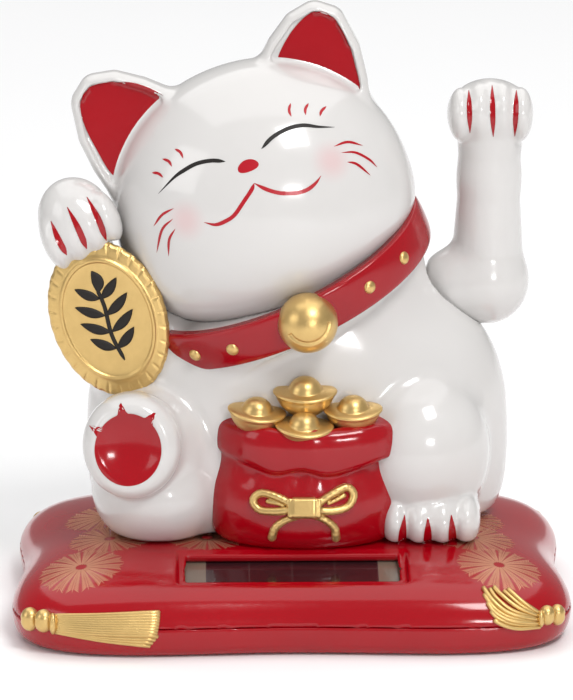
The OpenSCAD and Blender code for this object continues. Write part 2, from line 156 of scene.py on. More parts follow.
class Levels:
    """Upright form with an elliptical outline at each height: rows of height, x, y, half width, half depth."""

    def __init__(self, rows):
        self.table = spline(rows, 200)
        self.slope = np.gradient(self.table, self.table[:, 0], axis=0)

    def __call__(self, p):
        z = p[2]
        cx, cy, hw, hd = (np.interp(z, self.table[:, 0], self.table[:, i]) for i in range(1, 5))
        sw, sd = (np.interp(z, self.table[:, 0], self.slope[:, i]) for i in (3, 4))
        x, y = p[0] - cx, p[1] - cy
        k = np.sqrt((x / hw) ** 2 + (y / hd) ** 2) + 1e-9
        gx, gy = x / hw**2 / k, y / hd**2 / k
        gz = -((x / hw) ** 2 * sw / hw + (y / hd) ** 2 * sd / hd) / k
        side = (k - 1) / np.sqrt(gx**2 + gy**2 + gz**2 + 1e-12)
        return np.maximum(np.maximum(side, z - self.table[-1, 0]), self.table[0, 0] - z)


# ---------------------------------------------------------------- meshes


def mesh_object(name, verts_mm, faces, material, smooth=True):
    mesh = bpy.data.meshes.new(name)
    mesh.from_pydata((np.asarray(verts_mm) * MM).tolist(), [], [list(map(int, f)) for f in faces])
    mesh.validate()
    if smooth:
        mesh.polygons.foreach_set("use_smooth", [True] * len(mesh.polygons))
    mesh.materials.append(material)
    obj = bpy.data.objects.new(name, mesh)
    bpy.context.scene.collection.objects.link(obj)
    return obj


def gradient(field, v, h=0.05):
    g = np.zeros_like(v)
    for i in range(3):
        step = np.zeros(3)
        step[i] = h
        g[:, i] = field((v + step).T) - field((v - step).T)
    return g / (2 * h)


def solidify_field(name, field, low, high, step, material, polish=2):
    """Mesh of the surface where field is zero, inside the box low to high."""
    axes = [np.arange(low[i] - 2 * step, high[i] + 2.5 * step, step, dtype=np.float32) for i in range(3)]
    p = np.meshgrid(*axes, indexing="ij", sparse=True)
    values = field(p).astype(np.float32)
    grid = openvdb.FloatGrid(10.0)
    grid.copyFromArray(np.ascontiguousarray(values / step))
    found, quads = grid.convertToQuads(0.0)
    v = np.array([axes[i][0] for i in range(3)]) + np.asarray(found, float) * step
    for _ in range(polish):
        g = gradient(field, v)
        n2 = np.maximum((g**2).sum(1), 0.04)
        move = -(field(v.T) / n2)[:, None] * g
        v += np.clip(move, -0.3 * step, 0.3 * step)
    quads = np.asarray(quads)[:, ::-1]
    return mesh_object(name, v, quads, material)


def settle(field, start, direction):
    """Points where rays from start along direction meet the field's surface."""
    d = np.array(direction, float)
    v = np.array(start, float)
    for _ in range(60):
        v = v + np.clip(field(v.T), -2, 3)[:, None] * 0.85 * d
    return v


class Painter:
    """Lays thin painted shapes on a field's surface. Rays leave the eye point, or run level if there is none."""

    def __init__(self, field, origin, right, up, lift=0.03, eye=None, scale=1.0):
        self.field, self.origin = field, np.array(origin, float)
        self.lift, self.eye, self.scale = lift, eye, scale
        self.right = np.array(right, float) / np.linalg.norm(right)
        self.up = np.array(up, float) / np.linalg.norm(up)
        self.out = np.cross(self.right, self.up)

    def place(self, uv, lift=None):
        uv = np.asarray(uv, float) * self.scale
        spot = self.origin + uv[:, :1] * self.right + uv[:, 1:2] * self.up
        if self.eye is None:
            ray = np.broadcast_to(-self.out, spot.shape)
        else:
            ray = spot - self.eye
            ray = ray / np.linalg.norm(ray, axis=1)[:, None]
        v = settle(self.field, spot - 30 * ray, ray)
        n = gradient(self.field, v)
        n /= np.linalg.norm(n, axis=1)[:, None] + 1e-9
        return v + n * (self.lift if lift is None else lift)

    def stroke(self, knots, width, taper=(0.15, 0.15), count=40, across=5):
        """Plan points and faces of a brush stroke along knots, width in mm, thin at its ends."""
        line = spline(knots, count)
        side = np.gradient(line, axis=0)
        side = np.stack([-side[:, 1], side[:, 0]], 1) / (np.linalg.norm(side, axis=1)[:, None] + 1e-9)
        t = np.linspace(0, 1, count)
        w = np.ones(count)
        for share, s in ((taper[0], t), (taper[1], 1 - t)):
            if share > 0:
                w = np.minimum(w, 0.08 + 0.92 * np.sin(np.clip(s / share, 0, 1) * math.pi / 2))
        s = np.linspace(-0.5, 0.5, across)
        uv = line[:, None, :] + side[:, None, :] * (w[:, None] * width * s[None, :])[:, :, None]
        faces = [
            (i * across + j, i * across + j + 1, (i + 1) * across + j + 1, (i + 1) * across + j)
            for i in range(count - 1)
            for j in range(across - 1)
        ]
        return uv.reshape(-1, 2), faces

    def patch(self, outline, rings=10, centre=None):
        """Plan points and faces of a filled shape with a closed outline of points."""
        edge = np.array(outline, float)
        mid = edge.mean(0) if centre is None else np.array(centre, float)
        n = len(edge)
        uv = np.vstack([mid[None]] + [mid + (edge - mid) * r / rings for r in range(1, rings + 1)])
        faces = [(0, 1 + i, 1 + (i + 1) % n) for i in range(n)]
        for r in range(rings - 1):
            a, b = 1 + r * n, 1 + (r + 1) * n
            faces += [(a + i, b + i, b + (i + 1) % n, a + (i + 1) % n) for i in range(n)]
        return uv, faces

    def laid(self, parts):
        """Verts and faces of several plan shapes on the surface."""
        uv, faces = joined(parts)
        return self.place(uv), faces


def joined(parts):
    verts, faces, base = [], [], 0
    for v, f in parts:
        verts.append(v)
        faces += [tuple(i + base for i in face) for face in f]
        base += len(v)
    return np.vstack(verts), faces


def closed_curve(knots, count):
    """Smooth closed outline through knots."""
    k = np.array(knots, float)
    n = len(k)
    t = np.linspace(0, n, count, endpoint=False)
    i = t.astype(int)
    f = (t - i)[:, None]
    a, b, c, d = k[(i - 1) % n], k[i % n], k[(i + 1) % n], k[(i + 2) % n]
    return 0.5 * (2 * b + (c - a) * f + (2 * a - 5 * b + 4 * c - d) * f**2 + (3 * b - a - 3 * c + d) * f**3)


# ---------------------------------------------------------------- materials


def new_material(name):
    m = bpy.data.materials.new(name)
    m.use_nodes = True
    return m, m.node_tree.nodes, m.node_tree.links, m.node_tree.nodes["Principled BSDF"]


def object_point(nodes):
    return nodes.new("ShaderNodeTexCoord").outputs["Object"]


def noise(nodes, links, scale, detail=3.0):
    n = nodes.new("ShaderNodeTexNoise")
    n.inputs["Scale"].default_value = scale
    n.inputs["Detail"].default_value = detail
    links.new(object_point(nodes), n.inputs["Vector"])
    return n.outputs["Fac"]


def spread(nodes, links, value, low, high):
    """value from 0..1 to low..high."""
    r = nodes.new("ShaderNodeMapRange")
    r.inputs["To Min"].default_value = low
    r.inputs["To Max"].default_value = high
    links.new(value, r.inputs["Value"])
    return r.outputs["Result"]


def add_bump(nodes, links, bsdf, height, strength, distance):
    b = nodes.new("ShaderNodeBump")
    b.inputs["Strength"].default_value = strength
    b.inputs["Distance"].default_value = distance
    links.new(height, b.inputs["Height"])
    links.new(b.outputs["Normal"], bsdf.inputs["Normal"])
    return b


def tinted(nodes, links, fac, a, b):
    mix = nodes.new("ShaderNodeMix")
    mix.data_type = "RGBA"
    links.new(fac, mix.inputs["Factor"])
    for socket, colour in (("A", a), ("B", b)):
        target = [s for s in mix.inputs if s.name == socket and s.type == "RGBA"][0]
        if isinstance(colour, tuple):
            target.default_value = (*colour, 1)
        else:
            links.new(colour, target)
    return [s for s in mix.outputs if s.type == "RGBA"][0]


def gloss_plastic(name, colour, deep, rough=(0.1, 0.2), coat=0.6, orange_peel=0.015):
    """Moulded or lacquered plastic: slight tint drift, a soft orange peel and fine handling marks."""
    m, nodes, links, bsdf = new_material(name)
    drift = noise(nodes, links, 60, 2)
    links.new(tinted(nodes, links, drift, colour, deep), bsdf.inputs["Base Color"])
    links.new(spread(nodes, links, noise(nodes, links, 900, 4), *rough), bsdf.inputs["Roughness"])
    bsdf.inputs["Coat Weight"].default_value = coat
    bsdf.inputs["Coat Roughness"].default_value = 0.05
    bsdf.inputs["IOR"].default_value = 1.42
    add_bump(nodes, links, bsdf, noise(nodes, links, 350, 2), orange_peel, 0.001)
    return m


def gold_paint(name, colour, deep, rough=(0.26, 0.42)):
    """Metallic paint over plastic: bright flakes, darker in thin spots."""
    m, nodes, links, bsdf = new_material(name)
    links.new(tinted(nodes, links, noise(nodes, links, 500, 4), colour, deep), bsdf.inputs["Base Color"])
    bsdf.inputs["Metallic"].default_value = 0.85
    links.new(spread(nodes, links, noise(nodes, links, 1400, 4), *rough), bsdf.inputs["Roughness"])
    add_bump(nodes, links, bsdf, noise(nodes, links, 3500, 3), 0.12, 0.0002)
    return m


WHITE = gloss_plastic("white_plastic", (0.62, 0.605, 0.592), (0.58, 0.562, 0.548), (0.12, 0.2), 0.5)
RED = gloss_plastic("red_plastic", (0.36, 0.0004, 0.006), (0.29, 0.0004, 0.005), (0.1, 0.2), 0.2)
RED_LACQUER = gloss_plastic("red_lacquer", (0.34, 0.0004, 0.006), (0.27, 0.0004, 0.005), (0.12, 0.22), 0.2)
RED_PAINT = gloss_plastic("red_paint", (0.42, 0.002, 0.012), (0.36, 0.002, 0.01), (0.3, 0.4), 0.1, 0.03)
BLACK_PAINT = gloss_plastic("black_paint", (0.006, 0.004, 0.003), (0.01, 0.007, 0.005), (0.5, 0.65), 0.0,
    0.03)
GOLD_PRINT = gold_paint("gold_print", (0.66, 0.34, 0.22), (0.56, 0.24, 0.15), (0.5, 0.65))
STEEL = gold_paint("zinc_steel", (0.6, 0.61, 0.63), (0.5, 0.51, 0.53), (0.25, 0.4))
MAGNET = gold_paint("nickel_magnet", (0.66, 0.65, 0.63), (0.58, 0.57, 0.55), (0.15, 0.3))
COPPER = gold_paint("enamelled_copper", (0.72, 0.3, 0.12), (0.55, 0.2, 0.08), (0.25, 0.4))
BOARD = gloss_plastic("board_resist", (0.02, 0.16, 0.06), (0.015, 0.12, 0.05), (0.3, 0.45), 0.3, 0.05)
CHIP = gloss_plastic("chip_resin", (0.02, 0.02, 0.022), (0.03, 0.03, 0.032), (0.5, 0.65), 0.0, 0.1)
SLEEVE = gloss_plastic("capacitor_sleeve", (0.02, 0.03, 0.12), (0.015, 0.02, 0.09), (0.25, 0.4), 0.3, 0.03)
NYLON = gloss_plastic("white_nylon", (0.78, 0.77, 0.73), (0.72, 0.71, 0.67), (0.4, 0.55), 0.1, 0.05)
WIRE = gloss_plastic("wire_jacket", (0.5, 0.02, 0.02), (0.42, 0.015, 0.015), (0.4, 0.5), 0.1, 0.05)


def solar_material():
    """Amorphous cell under clear resin: dark strips, fine scribe lines and pale contacts at both ends."""
    m, nodes, links, bsdf = new_material("solar_film")
    xyz = nodes.new("ShaderNodeSeparateXYZ")
    links.new(object_point(nodes), xyz.inputs["Vector"])
    far = nodes.new("ShaderNodeMath")
    far.operation = "ABSOLUTE"
    links.new(xyz.outputs["X"], far.inputs[0])
    contact = nodes.new("ShaderNodeMath")
    contact.operation = "GREATER_THAN"
    contact.inputs[1].default_value = 0.0155
    links.new(far.outputs[0], contact.inputs[0])
    wave = nodes.new("ShaderNodeMath")
    wave.operation = "PINGPONG"
    wave.inputs[1].default_value = 0.00385
    links.new(xyz.outputs["X"], wave.inputs[0])
    scribe = nodes.new("ShaderNodeMath")
    scribe.operation = "LESS_THAN"
    scribe.inputs[1].default_value = 0.0001
    links.new(wave.outputs[0], scribe.inputs[0])
    film = tinted(nodes, links, noise(nodes, links, 700, 3), (0.018, 0.006, 0.008), (0.03, 0.01, 0.012))
    lined = tinted(nodes, links, scribe.outputs[0], film, (0.05, 0.03, 0.03))
    links.new(tinted(nodes, links, contact.outputs[0], lined, (0.16, 0.12, 0.09)), bsdf.inputs["Base Color"])
    links.new(spread(nodes, links, noise(nodes, links, 1500, 3), 0.18, 0.3), bsdf.inputs["Roughness"])
    bsdf.inputs["Coat Weight"].default_value = 0.8
    bsdf.inputs["Coat Roughness"].default_value = 0.05
    add_bump(nodes, links, bsdf, noise(nodes, links, 900, 2), 0.03, 0.0003)
    return m


SOLAR = solar_material()
GOLD = gold_paint("gold_paint", (0.72, 0.5, 0.2), (0.6, 0.4, 0.15))

# ---------------------------------------------------------------- body and head fields

BODY_LEVELS = Levels(
    [
        (TOP_Z - 0.3, 1.5, 9, 34.0, 17.3),
        (16.6, 1.5, 9, 36.8, 18.7),
        (21.5, 1.5, 9, 38.4, 19.8),
        (30, 1.5, 9, 38.8, 20.2),
        (40, 1.5, 9, 38.0, 19.8),
        (49, 1.5, 9, 34.5, 18.6),
        (57, 1.5, 9, 27.0, 16.8),
        (60, 1.5, 9, 24.6, 15.9),
        (66, 1.8, 8.7, 21.5, 14.4),
        (72, 2.2, 8.3, 17.5, 12.0),
    ]
)


SOLE = np.array([-28.9, -17.0, 34.3])
SOLE_TURN = turn(z=-6) @ turn(x=80)


def plateau_cut(p):
    return TOP_Z - p[2]


def body_main(p):
    """Pear-shaped body with both hind legs."""
    d = BODY_LEVELS(p)
    # raised leg: round haunch, then the foot with its sole to the front
    haunch = smooth_min(egg(p, (-24, -3, 22.5), (12.2, 13.2, 10.6)),
        egg(p, (-23.6, -1, 28), (12.4, 12.6, 14)), 2.0)
    d = smooth_min(d, haunch, 3.0)
    shin = limb(p, (-25, -4, 31), (-28.6, -12, 34.3), 9.6, 8.6)
    d = smooth_min(d, shin, 3.0)
    q = turned(p, SOLE, SOLE_TURN)
    foot = disc([q[0] / 0.93, q[1], q[2] + 3.6], (0, 0, 0), 9.5, 3.8, 2.6)
    d = smooth_min(d, foot, 1.0)
    dish = egg(q, (0, 0, 6.1), (9.6, 10.4, 7.0))
    d = smooth_max(d, -dish, 0.9)
    # standing leg: the thigh (its flat foot with four toes is flat_foot)
    thigh = egg(p, (23.4, -2.6, 29.5), (13.0, 12.4, 15.0))
    d = smooth_min(d, thigh, 2.2)
    return d


def flat_foot(p):
    d = egg(p, (25.4, -6.5, 19.2), (9.2, 8.6, 5.9))
    for i in range(4):
        x = 18.9 + 4.25 * i
        toe = egg(p, (x, -10.4 + 0.55 * abs(i - 1.5), 18.4), (2.75, 5.6, 4.7))
        d = smooth_min(d, toe, 0.7)
    return d


def held_paw(p):
    """Mitten paw with four low toes that point down and inwards behind the coin's edge."""
    d = egg(p, (-38.6, 0.5, 72.2), (6.8, 6.8, 7.7), turn(y=-20))
    for u, v in ((5.6, 0.4), (2.7, -1.5), (-0.6, -3.2), (-3.7, -4.8)):
        toe = egg(p, (-38.5 + u, -2.7, 73 + v), (2.15, 3.7, 4.7), turn(y=-24))
        d = smooth_min(d, toe, 1.5)
    return d


def holding_arm(p):
    d = limb(p, (-25, 4, 39), (-35, 5, 52), 8.4, 6.6)
    d = smooth_min(d, limb(p, (-24, 3.5, 49), (-35.5, 6.0, 55.0), 8.2, 6.0), 1.5)
    d = smooth_min(d, limb(p, (-35.5, 6.0, 55.0), (-37.4, 4.4, 66), 6.0, 5.4), 2.0)
    return smooth_min(d, held_paw(p), 2.0)


def head_egg(p):
    """Wide head: superellipsoid, flatter below."""
    q = turned(p, HEAD, turn(y=-math.degrees(HEAD_ROLL)))
    w = q[2] + 2.0
    half = np.where(w > 0, 27.3, 18.8)
    power = np.where(w > 0, 2.1, 2.4)
    ring = np.sqrt((q[0] / 27.5) ** 2 + (q[1] / 22.0) ** 2) + 1e-6
    rise = np.abs(w) / half + 1e-6
    k = (ring**power + rise**power) ** (1 / power)
    gx = k ** (1 - power) * ring ** (power - 2) * q[0] / 27.5**2
    gy = k ** (1 - power) * ring ** (power - 2) * q[1] / 22.0**2
    gz = k ** (1 - power) * rise ** (power - 1) / half
    return (k - 1) / np.sqrt(gx**2 + gy**2 + gz**2 + 1e-9)


EAR_RIM = 3.35
EAR_CORE = [(9.6, 20.9), (13.2, 24.3), (17.1, 27.0), (20.2, 27.6), (22.1, 26.1), (22.9, 20.4), (22.3, 15.0),
    (21.2, 10.5), (12, 12)]
EAR_SHIFT = {1: (0.0, 0.0), -1: (1.1, 1.1)}


def inside_outline(x, z, outline):
    """Signed distance to a closed outline of straight edges."""
    best, inside = None, np.zeros(np.broadcast(x, z).shape, bool)
    n = len(outline)
    for i in range(n):
        ax, az = outline[i]
        bx, bz = outline[(i + 1) % n]
        t = np.clip(((x - ax) * (bx - ax) + (z - az) * (bz - az)) / ((bx - ax) ** 2 + (bz - az) ** 2), 0, 1)
        gap = (x - ax - t * (bx - ax)) ** 2 + (z - az - t * (bz - az)) ** 2
        best = gap if best is None else np.minimum(best, gap)
        if az != bz:
            crosses = ((az <= z) != (bz <= z)) & (x < (bx - ax) * (z - az) / (bz - az) + ax)
            inside = inside ^ crosses
    return np.where(inside, -1, 1) * np.sqrt(best)


def ear(p, side):
    """Upright leaf-shaped ear with a round rim and a scooped front."""
    q = turned(p, HEAD, turn(y=-math.degrees(HEAD_ROLL)))
    dx, dz = EAR_SHIFT[side]
    x, y, z = q[0] * side - dx, q[1] - 0.5, q[2] - dz
    rim = inside_outline(x, z, EAR_CORE) - EAR_RIM
    half = np.clip(4.6 - 0.09 * (z - 10), 2.4, 5.0)
    r = 2.2
    a, b = rim + r, np.abs(y) - half + r
    d = np.sqrt(np.maximum(a, 0) ** 2 + np.maximum(b, 0) ** 2) + np.minimum(np.maximum(a, b), 0) - r
    hollow = np.maximum(rim + 1.5, y + half - 1.2)
    return smooth_max(d, -hollow, 0.7)


def head(p):
    d = head_egg(p)
    for side in (-1, 1):
        d = smooth_min(d, ear(p, side), 1.6)
    return d


COLLAR_TURN = turn(y=-24) @ turn(x=13)


def above_collar(p):
    """Height over the collar's plane."""
    return turned(p, COLLAR, COLLAR_TURN)[2]


def head_shell(p):
    return smooth_max(head(p), -1.5 - above_collar(p), 0.4)


def body_shell(p):
    neck = smooth_max(body_main(p), above_collar(p) - 1.5, 0.4)
    q = turned(p, COLLAR, COLLAR_TURN)
    core = (np.sqrt((q[0] / 25.6) ** 2 + (q[1] / 19.8) ** 2) - 1) * 21
    neck = smooth_min(neck, np.maximum(core, np.abs(q[2] + 1.6) - 3.1), 3.0)
    neck = smooth_min(neck, flat_foot(p), 0.9)
    d = smooth_min(neck, holding_arm(p), 1.5)
    d = np.maximum(d, -(head_egg(p) - 0.02))
    hub = np.sqrt((p[1] - AXLE[1]) ** 2 + (p[2] - AXLE[2]) ** 2) - 7.2
    d = smooth_max(d, -np.maximum(hub, 24.7 - p[0]), 0.3)
    return smooth_max(d, plateau_cut(p), 1.2)


def waving_arm(p):
    y, z = AXLE[1], AXLE[2]
    stub = limb(p, (31, y, z), (36.4, y, z), 6.9, 6.9)
    elbow = egg(p, (36.4, y, z + 0.9), (7.0, 6.9, 7.4))
    upper = limb(p, (36.4, y, z + 2), (36.6, y, 77), 6.8, 5.5)
    d = smooth_min(smooth_min(elbow, upper, 1.5), stub, 2.6)
    d = smooth_min(d, limb(p, (36.6, y, 77), (36.7, y - 0.3, 87.6), 5.4, 6.2), 2.0)
    d = smooth_min(d, egg(p, (36.6, y - 0.3, 89.2), (7.6, 6.4, 6.2)), 1.2)
    for u in (-5.6, -2.1, 2.0, 5.5):
        toe = egg(p, (36.6 + u, y - 3.2, 90.4 - 0.03 * u * u), (2.15, 4.2, 4.8))
        d = smooth_min(d, toe, 1.4)
    return smooth_max(d, 25.0 - p[0], 1.0)


# ---------------------------------------------------------------- camera, light and floor

TARGET = Vector((-0.64, 0, 47.7)) * MM
VIEW_AZIMUTH, VIEW_HEIGHT = math.radians(-1.0), math.radians(15.0)
BACK = Vector(
    (
        math.sin(VIEW_AZIMUTH) * math.cos(VIEW_HEIGHT),
        -math.cos(VIEW_AZIMUTH) * math.cos(VIEW_HEIGHT),
        math.sin(VIEW_HEIGHT),
    )
)
RIGHT = Vector((math.cos(VIEW_AZIMUTH), math.sin(VIEW_AZIMUTH), 0))
UP = RIGHT.cross(-BACK)
EYE = np.array(TARGET) / MM + np.array(BACK) * 850


def make_camera():
    data = bpy.data.cameras.new("view")
    data.sensor_width = 36
    data.lens = 36 * 5.5 * 850 / 700
    data.clip_end = 20
    cam = bpy.data.objects.new("view", data)
    cam.location = TARGET + BACK * 850 * MM
    cam.rotation_euler = (-BACK).to_track_quat("-Z", "Y").to_euler()
    bpy.context.scene.collection.objects.link(cam)
    bpy.context.scene.camera = cam


def area_light(name, place, power, size, colour=(1, 1, 1), aim=(0, 0, 0.05)):
    data = bpy.data.lights.new(name, "AREA")
    data.shape = "RECTANGLE"
    data.size, data.size_y = size
    data.energy = power
    data.color = colour
    lamp = bpy.data.objects.new(name, data)
    lamp.location = place
    lamp.rotation_euler = (Vector(aim) - Vector(place)).to_track_quat("-Z", "Y").to_euler()
    bpy.context.scene.collection.objects.link(lamp)


def lamp_toward(name, way, distance, power, size):
    """Softbox in a direction given as right, up and towards the camera."""
    v = (RIGHT * way[0] + UP * way[1] + BACK * way[2]).normalized()
    area_light(name, Vector((0, 0, 0.055)) + v * distance, power, size)


FLOOR_HALF = 1.5


def make_stage():
    bpy.context.scene.view_settings.view_transform = "Standard"
    world = bpy.data.worlds.new("studio")
    world.use_nodes = True
    world.node_tree.nodes["Background"].inputs["Color"].default_value = (1, 1, 1, 1)
    world.node_tree.nodes["Background"].inputs["Strength"].default_value = 0.36
    bpy.context.scene.world = world
    lamp_toward("key", (0.3, 0.6, 0.74), 1.0, 5.0, (0.3, 0.3))
    lamp_toward("window", (0.32, -0.02, 0.95), 1.1, 2.2, (0.2, 0.1))
    lamp_toward("fill", (-0.8, 0.25, 0.55), 1.0, 1.6, (0.5, 0.5))
    area_light("top", (0.0, 0.45, 1.6), 24, (2.4, 2.4))
    bm = bmesh.new()
    bmesh.ops.create_grid(bm, x_segments=8, y_segments=8, size=FLOOR_HALF)
    mesh = bpy.data.meshes.new("floor")
    bm.to_mesh(mesh)
    bm.free()
    m, nodes, links, bsdf = new_material("floor_paper")
    links.new(tinted(nodes, links, noise(nodes, links, 8, 2), (0.92, 0.92, 0.92), (0.9, 0.9, 0.905)),
        bsdf.inputs["Base Color"])
    bsdf.inputs["Roughness"].default_value = 0.7
    mesh.materials.append(m)
    floor = bpy.data.objects.new("floor", mesh)
    bpy.context.scene.collection.objects.link(floor)


make_camera()
make_stage()

# ---------------------------------------------------------------- cushion base

SIDE_PROFILE = spline(
    [(0, 2.6), (0.9, 1.2), (2.6, 0.3), (5.6, 0), (8, 0.8), (10, 2.3), (11.8, 4.8), (13.2, 8.5), (14.2, 13),
        (14.8, 18)],
    120,
)


PINCH = 0.053
SEAM_GAP = 0.05


def cushion(p):
    """Lobed cushion: each level is the outline drawn in by the side profile's inset."""
    u, v = p[0] / HALF_W, p[1] / HALF_D
    r = np.sqrt(u * u + v * v) + 1e-9
    c2, s2 = (u / r) ** 2, (v / r) ** 2
    reach = (c2**2.5 + s2**2.5) ** -0.2 * (1 - PINCH * (c2 - s2) ** 2)
    inset = (1 - r / reach) / (c2 / HALF_W + s2 / HALF_D)
    need = np.interp(p[2], SIDE_PROFILE[:, 0], SIDE_PROFILE[:, 1])
    slope = np.interp(p[2], SIDE_PROFILE[:, 0], np.gradient(SIDE_PROFILE[:, 1], SIDE_PROFILE[:, 0]))
    side = (need - inset) / np.sqrt(1 + slope**2)
    return np.maximum(np.maximum(side, p[2] - TOP_Z), -p[2])


def window_point(p):
    return turned(p, (0, -22.3, 13.05), turn(x=13.7))


def upper_base(p):
    d = np.maximum(cushion(p), SEAM_Z + SEAM_GAP - p[2])
    hollow = np.maximum(cushion(p) + WALL, SEAM_Z - 1 - p[2])
    d = np.maximum(d, -hollow)
    q = window_point(p)
    opening = block(q, (0, 0, 0), (19, 4.4, 6), 0.3)
    chamfer = block(q, (0, 0, 2.1), (20.6, 6.0, 1.9), 0.5)
    pocket = block(q, (0, 0, -3.7), (21.3, 6.8, 2.3), 0.2)
    d = smooth_max(d, -opening, 0.4)
    d = smooth_max(d, -chamfer, 0.5)
    return np.maximum(d, -pocket)


def lower_base(p):
    d = np.maximum(cushion(p), p[2] - SEAM_Z + SEAM_GAP)
    hollow = np.maximum(cushion(p) + WALL, WALL - p[2])
    d = np.maximum(d, -hollow)
    for x in (-36, 36):
        for y in (-20, 20):
            d = smooth_min(d, disc(p, (x, y, 1.9), 4.2, 1.6, 0.3), 0.5)
            d = np.maximum(d, -disc(p, (x, y, 0), 3.0, 1.9, 0.1))
    return d


base_low, base_high = points(SHELL_LOW[0], SHELL_LOW[1], 0), points(SHELL_HIGH[0], SHELL_HIGH[1], TOP_Z)


def shown(obj, body, slot, *nodes):
    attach(obj, body)
    if nodes:
        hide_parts(*nodes)
    return obj


shown(solidify_field("cushion_top", upper_base, base_low, base_high, 0.4, RED), "figure", "red_base",
    "base_upper_shell")
shown(
    solidify_field("cushion_bottom", lower_base, base_low, points(base_high[0], base_high[1], 6.5), 0.4, RED),
    "figure",
    "red_base",
    "base_lower_shell",
)

# ---------------------------------------------------------------- white shells

shown(
    solidify_field("cat_body", body_shell, (-47, -19, TOP_Z), (42, 30, 84), 0.42, WHITE),
    "figure",
    "white_shell",
    "body_front_shell",
    "body_rear_shell",
)
cat_head = shown(
    solidify_field("cat_head", head_shell, (-40, -16, 52), (24, 30, 112.5), 0.42, WHITE),
    "figure",
    "white_shell",
    "head_front_shell",
    "head_rear_shell",
)
shown(
    solidify_field("cat_arm", waving_arm, (26, 4, 48), (46, 20, 97), 0.33, WHITE),
    "waving_arm",
    "white_shell",
    "arm_front_half",
    "arm_rear_half",
)

# ---------------------------------------------------------------- collar, studs and bell

COLLAR_HALF = (28.0, 22.3)


def band_point(t, out, up):
    """Point on the collar at t degrees round it, out from its middle line and up its width."""
    a = math.radians(t)
    return COLLAR + COLLAR_TURN @ np.array([(COLLAR_HALF[0] + out) * math.cos(a),
        (COLLAR_HALF[1] + out) * math.sin(a), up])


def collar_band(steps=200):
    """Closed band with a crowned outside and rolled edges."""
    section = [(0.9 * math.cos(a) ** 0.5 - 0.9, 3.7 * math.sin(a)) for a in np.linspace(-1.5, 1.5, 25)]
    section += [(-2.6, 3.6), (-3.2, 0.0), (-2.6, -3.6)]
    m = len(section)
    verts = [band_point(360 * i / steps, out, up) for i in range(steps) for out, up in section]
    faces = [
        (i * m + j, ((i + 1) % steps) * m + j, ((i + 1) % steps) * m + (j + 1) % m, i * m + (j + 1) % m)
        for i in range(steps)
        for j in range(m)
    ]
    return mesh_object("collar_band", np.array(verts), faces, RED_LACQUER)


def dome(centre, normal, radius, height, rings=8, around=28):
    """Low round-topped button on a surface."""
    n = Vector(normal).normalized()
    side = n.orthogonal().normalized()
    other = n.cross(side)
    verts = [np.array(centre) + np.array(n) * height]
    for r in range(1, rings + 1):
        a = r / rings * math.pi / 2
        for i in range(around):
            b = 2 * math.pi * i / around
            spot = side * math.cos(b) + other * math.sin(b)
            verts.append(np.array(centre) + np.array(spot) * radius * math.sin(a) + np.array(n) * height * math.cos(a))
    faces = [(0, 1 + i, 1 + (i + 1) % around) for i in range(around)]
    for r in range(rings - 1):
        p0, p1 = 1 + r * around, 1 + (r + 1) * around
        faces += [(p0 + i, p1 + i, p1 + (i + 1) % around, p0 + (i + 1) % around) for i in range(around)]
    return np.array(verts), faces


shown(collar_band(), "figure", "red_trim", "collar")
studs = []
for t in (226, 243.5, 301.5, 322, 35, 60, 90, 120, 145):
    spot, near = band_point(t, -0.15, 0), band_point(t, -2.0, 0)
    studs.append(dome(spot, spot - near, 1.2, 0.75))
v, f = joined(studs)
shown(mesh_object("collar_buttons", v, f, GOLD), "figure", "gold_trim", "collar_studs")

BELL_RADIUS = 5.4
FRONT = np.array(BACK)
VIEW_FRAME = np.stack([np.array(RIGHT), np.array(UP), FRONT], 1)


def bell_form(p):
    """Round bell with a curved slot low on its front."""
    q = turned(p, BELL, VIEW_FRAME)
    d = np.sqrt(q[0] ** 2 + q[1] ** 2 + q[2] ** 2) - BELL_RADIUS
    ring = np.sqrt(q[0] ** 2 + q[1] ** 2) - 3.85
    slot = np.sqrt(ring**2 + (q[2] - 3.85) ** 2) - 0.42
    angle = np.degrees(np.arctan2(q[1], q[0])) % 360
    slot = np.maximum(slot, (np.abs(angle - 287) - 73) * 0.07)
    return smooth_max(d, -slot, 0.25)


shown(
    solidify_field("jingle_bell", bell_form, BELL - 5.8, BELL + 5.8, 0.16, GOLD),
    "figure",
    "gold_trim",
    "bell",
)

# ---------------------------------------------------------------- coin

COIN_TURN = turn(z=-8) @ turn(y=-18) @ turn(x=90)
COIN_AXES = (10.5, 14.5)
COIN_FACE = 1.15
FLUTES = 30
COIN_PROFILE = np.array(
    [(0, 1.15), (0.70, 1.15), (0.735, 1.2), (0.76, 1.5), (0.785, 1.5), (0.81, 1.2), (0.84, 1.05),
        (0.92, 0.95), (0.97, 0.8), (1.0, 0.45)]
)


def coin_point(x, y, h):
    return COIN + COIN_TURN @ np.array([x, y, h])


